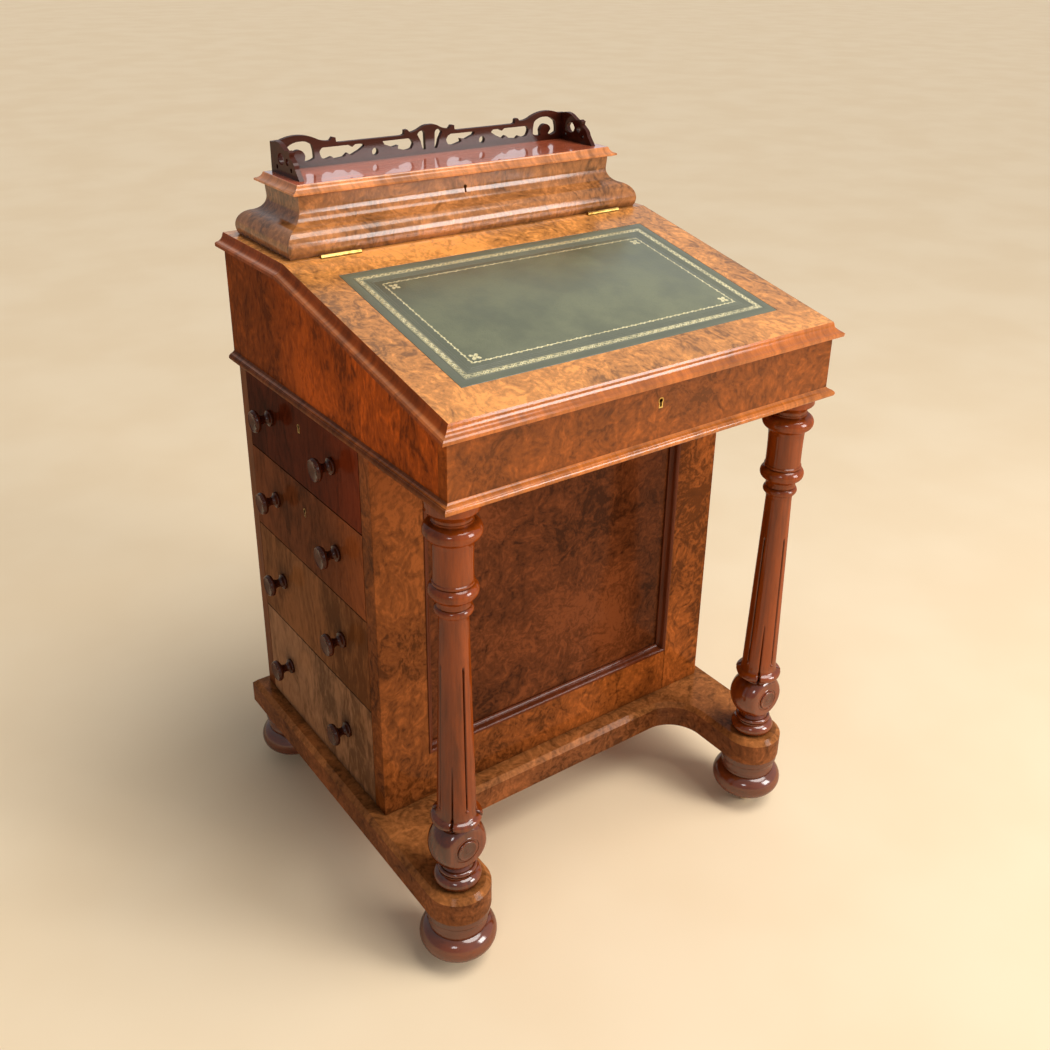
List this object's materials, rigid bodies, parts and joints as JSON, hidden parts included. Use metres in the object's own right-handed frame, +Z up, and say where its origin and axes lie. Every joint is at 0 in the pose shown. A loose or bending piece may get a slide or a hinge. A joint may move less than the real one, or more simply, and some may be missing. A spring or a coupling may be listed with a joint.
{
  "type": "davenport desk",
  "caption": "Small writing desk with a sloping leather-topped lid on turned columns, a pedestal of side drawers and a lidded stationery box with a fret gallery.",
  "frame": {"origin": "on the floor below the middle of the desk's overall box", "axes": "+X to the right seen from the front, +Y to the back, +Z up; the knee side faces -Y"},
  "size_m": [0.573, 0.5358, 0.888],
  "materials": {
    "walnut": "french polish",
    "burr_walnut": "french polish",
    "dark_walnut": "french polish",
    "oak": "plain",
    "leather": "tooled, satin",
    "brass": "aged"
  },
  "bodies": {
    "carcase": {"base_plinth": "dark_walnut", "bun_feet": "dark_walnut", "left_column": "dark_walnut", "right_column": "dark_walnut", "front_frame": "walnut", "front_panel": "burr_walnut", "front_panel_moulding": "dark_walnut", "dust_boards": "oak", "right_side_panel": "walnut", "dummy_drawer_fronts": "walnut", "dummy_drawer_knobs": "dark_walnut", "back_frame": "walnut", "back_panel": "walnut", "back_panel_moulding": "dark_walnut", "desk_floor": "oak", "desk_cheeks": "walnut", "desk_front_rail": "walnut", "desk_back_board": "walnut", "desk_lower_moulding": "dark_walnut", "fixed_top": "burr_walnut", "fixed_top_moulding": "dark_walnut", "box_front": "burr_walnut", "box_ends": "burr_walnut", "box_back": "burr_walnut", "box_dividers": "oak", "desk_escutcheon": "brass", "locks": "brass", "hinge_fixed_leaves": "brass", "hinge_pins": "brass"},
    "writing_lid": {"lid_board": "burr_walnut", "lid_moulding": "dark_walnut", "writing_leather": "leather", "lid_hinge_leaves": "brass"},
    "box_lid": {"box_lid_board": "walnut", "box_lid_moulding": "dark_walnut", "gallery_back": "dark_walnut", "gallery_ends": "dark_walnut", "box_lid_hinge_leaves": "brass"},
    "drawer_1": {"drawer_1_front": "walnut", "drawer_1_box": "oak", "drawer_1_knobs": "dark_walnut"},
    "drawer_2": {"drawer_2_front": "walnut", "drawer_2_box": "oak", "drawer_2_knobs": "dark_walnut"},
    "drawer_3": {"drawer_3_front": "walnut", "drawer_3_box": "oak", "drawer_3_knobs": "dark_walnut"},
    "drawer_4": {"drawer_4_front": "walnut", "drawer_4_box": "oak", "drawer_4_knobs": "dark_walnut"},
    "castor_front_left": {"castor_horn_front_left": "brass"},
    "wheel_front_left": {"castor_wheel_front_left": "brass"},
    "castor_front_right": {"castor_horn_front_right": "brass"},
    "wheel_front_right": {"castor_wheel_front_right": "brass"},
    "castor_rear_left": {"castor_horn_rear_left": "brass"},
    "wheel_rear_left": {"castor_wheel_rear_left": "brass"},
    "castor_rear_right": {"castor_horn_rear_right": "brass"},
    "wheel_rear_right": {"castor_wheel_rear_right": "brass"}
  },
  "joints": [
    {"name": "lid_hinge", "type": "hinge", "parent": "carcase", "child": "writing_lid", "pos_m": [0, 0.086, 0.7738], "axis": [-1, 0, 0], "range_deg": [0, 110]},
    {"name": "box_lid_hinge", "type": "hinge", "parent": "carcase", "child": "box_lid", "pos_m": [0, 0.213, 0.83665], "axis": [-1, 0, 0], "range_deg": [0, 95]},
    {"name": "drawer_1_slide", "type": "slide", "parent": "carcase", "child": "drawer_1", "axis": [-1, 0, 0], "range_m": [0, 0.34]},
    {"name": "drawer_2_slide", "type": "slide", "parent": "carcase", "child": "drawer_2", "axis": [-1, 0, 0], "range_m": [0, 0.34]},
    {"name": "drawer_3_slide", "type": "slide", "parent": "carcase", "child": "drawer_3", "axis": [-1, 0, 0], "range_m": [0, 0.34]},
    {"name": "drawer_4_slide", "type": "slide", "parent": "carcase", "child": "drawer_4", "axis": [-1, 0, 0], "range_m": [0, 0.34]},
    {"name": "castor_front_left_swivel", "type": "hinge", "parent": "carcase", "child": "castor_front_left", "pos_m": [-0.2405, -0.222, 0.046], "axis": [0, 0, 1], "continuous": true},
    {"name": "wheel_front_left_roll", "type": "hinge", "parent": "castor_front_left", "child": "wheel_front_left", "pos_m": [-0.235, -0.21247, 0.013], "axis": [-0.866, 0.5, 0], "continuous": true},
    {"name": "castor_front_right_swivel", "type": "hinge", "parent": "carcase", "child": "castor_front_right", "pos_m": [0.2405, -0.222, 0.046], "axis": [0, 0, 1], "continuous": true},
    {"name": "wheel_front_right_roll", "type": "hinge", "parent": "castor_front_right", "child": "wheel_front_right", "pos_m": [0.23207, -0.22907, 0.013], "axis": [0.6428, -0.766, 0], "continuous": true},
    {"name": "castor_rear_left_swivel", "type": "hinge", "parent": "carcase", "child": "castor_rear_left", "pos_m": [-0.2405, 0.222, 0.046], "axis": [0, 0, 1], "continuous": true},
    {"name": "wheel_rear_left_roll", "type": "hinge", "parent": "castor_rear_left", "child": "wheel_rear_left", "pos_m": [-0.23016, 0.22576, 0.013], "axis": [-0.342, 0.9397, 0], "continuous": true},
    {"name": "castor_rear_right_swivel", "type": "hinge", "parent": "carcase", "child": "castor_rear_right", "pos_m": [0.2405, 0.222, 0.046], "axis": [0, 0, 1], "continuous": true},
    {"name": "wheel_rear_right_roll", "type": "hinge", "parent": "castor_rear_right", "child": "wheel_rear_right", "pos_m": [0.23097, 0.2275, 0.013], "axis": [-0.5, -0.866, 0], "continuous": true}
  ]
}
